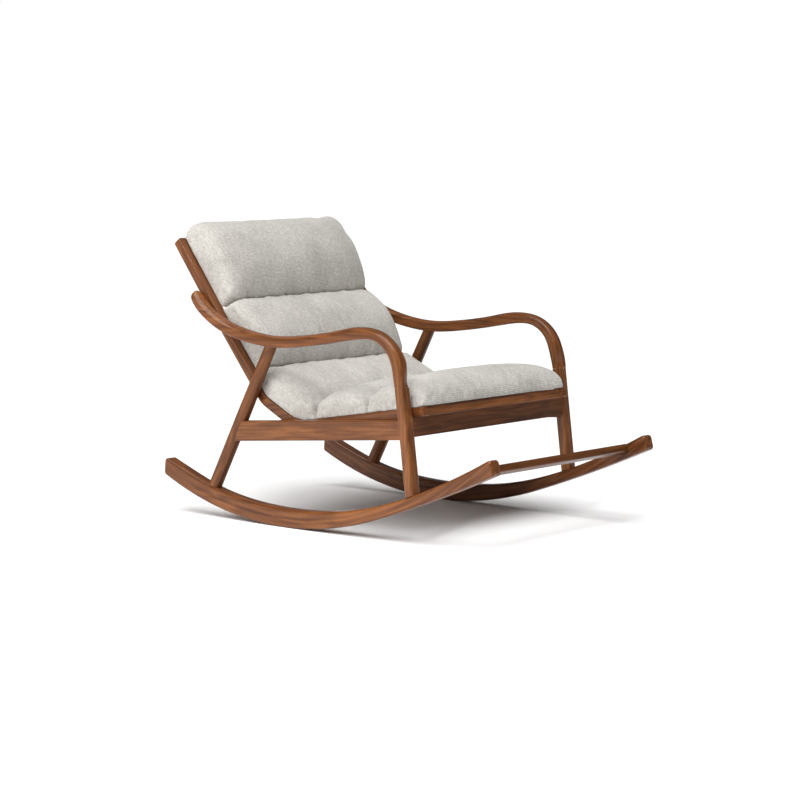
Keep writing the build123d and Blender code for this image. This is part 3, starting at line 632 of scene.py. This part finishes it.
# colour, and whether the metal is turned
METALS = {
    "rail_bolts": ((0.60, 0.60, 0.61), False),
    "rail_washers": ((0.56, 0.56, 0.58), True),
    "rail_inserts": ((0.78, 0.57, 0.28), True),
}
for index, (name, node) in enumerate(sorted(nodes.items())):
    if name.startswith("cushion"):
        continue
    if name in METALS:
        material = metal(name + "_metal", *METALS[name])
    else:
        kind, left = name.replace("_left", "").replace("_right", ""), name.endswith("_left")
        # cut from one board, so the figure runs on through the joint
        matched = kind in ("arm", "front_leg")
        tone_and_shade = 1.55 if name.endswith("dowels") else 1.0 if matched else 0.94 + 0.03 * (index * 7 % 5)
        # painted shade: darkens the front apron and front stretcher
        tone_and_shade *= PAINTED_SHADE_BOARDS.get(name, 1.0)
        material = wood(name + "_wood", GRAINS.get(kind, ACROSS), 50 + left if matched else index, tone_and_shade)
    for slot in node.material_slots:
        slot.material = material

# ------------------------------------------------------------------ floor, light and camera
CAMERA_PLACE = Vector((-4.940, -4.2601, 1.041))
CAMERA_YAW = radians(40.8736)
CAMERA_PITCH = radians(6.4867)


def softbox(name, place, target, size, power, shows):
    """Area light; shows says whether it can be seen in reflections."""
    light = bpy.data.lights.new(name, "AREA")
    light.shape = "RECTANGLE"
    light.size, light.size_y = size
    light.energy = power
    obj = bpy.data.objects.new(name, light)
    obj.location = place
    obj.rotation_euler = (Vector(target) - Vector(place)).to_track_quat("-Z", "Y").to_euler()
    obj.visible_glossy = shows
    bpy.context.scene.collection.objects.link(obj)


def build_floor():
    mesh = bpy.data.meshes.new("floor")
    mesh.from_pydata([(-40, -40, 0), (40, -40, 0), (40, 40, 0), (-40, 40, 0)], [], [(0, 1, 2, 3)])
    floor = bpy.data.objects.new("floor", mesh)
    bpy.context.scene.collection.objects.link(floor)
    material, tree, shader, place = new_material("pale_floor")
    speckle = ramp(tree, noise_node(tree, place, 30.0, 2.0, 0.5), (0.3, 0.93), (0.7, 0.95))
    tree.links.new(speckle, shader.inputs["Base Color"])
    shader.inputs["Roughness"].default_value = 0.9
    shader.inputs["Specular IOR Level"].default_value = 0.0
    mesh.materials.append(material)


def build_sky(seen, cast, mirrored):
    """White surroundings: how bright they look, how much light they give, how bright they mirror."""
    world = bpy.data.worlds.new("studio")
    bpy.context.scene.world = world
    world.use_nodes = True
    tree = world.node_tree
    ground = tree.nodes["Background"]
    path = tree.nodes.new("ShaderNodeLightPath").outputs
    strength = math_node(tree, "MULTIPLY_ADD", path["Is Glossy Ray"], mirrored - cast, cast)
    strength = math_node(tree, "MULTIPLY_ADD", path["Is Camera Ray"], seen - cast, strength)
    tree.links.new(strength, ground.inputs["Strength"])
    ground.inputs["Color"].default_value = (1, 1, 1, 1)


def build_sun(power, wide, direction):
    sun = bpy.data.lights.new("soft_sun", "SUN")
    sun.energy = power
    sun.angle = radians(wide)
    obj = bpy.data.objects.new("soft_sun", sun)
    obj.rotation_euler = Vector(direction).to_track_quat("-Z", "Y").to_euler()
    bpy.context.scene.collection.objects.link(obj)


build_floor()
build_sun(3.5, 56, (0.32, 0.05, -1))
softbox("key", (-3.2, 0.9, 1.7), (0, 0, 0.4), (1.6, 1.6), 44, False)
softbox("strip", (-2.6, -1.0, 2.6), (0, 0, 0.4), (0.2, 2.6), 40, True)
build_sky(1.0, 0.115, 0.14)

camera = bpy.data.objects.new("camera", bpy.data.cameras.new("camera"))
bpy.context.scene.collection.objects.link(camera)
camera.data.lens = 117
camera.data.sensor_width = 36
camera.location = CAMERA_PLACE
level = cos(CAMERA_PITCH)
heading = Vector((cos(CAMERA_YAW) * level, sin(CAMERA_YAW) * level, -sin(CAMERA_PITCH)))
camera.rotation_euler = heading.to_track_quat("-Z", "Y").to_euler()
bpy.context.scene.camera = camera
bpy.context.scene.view_settings.view_transform = "Standard"
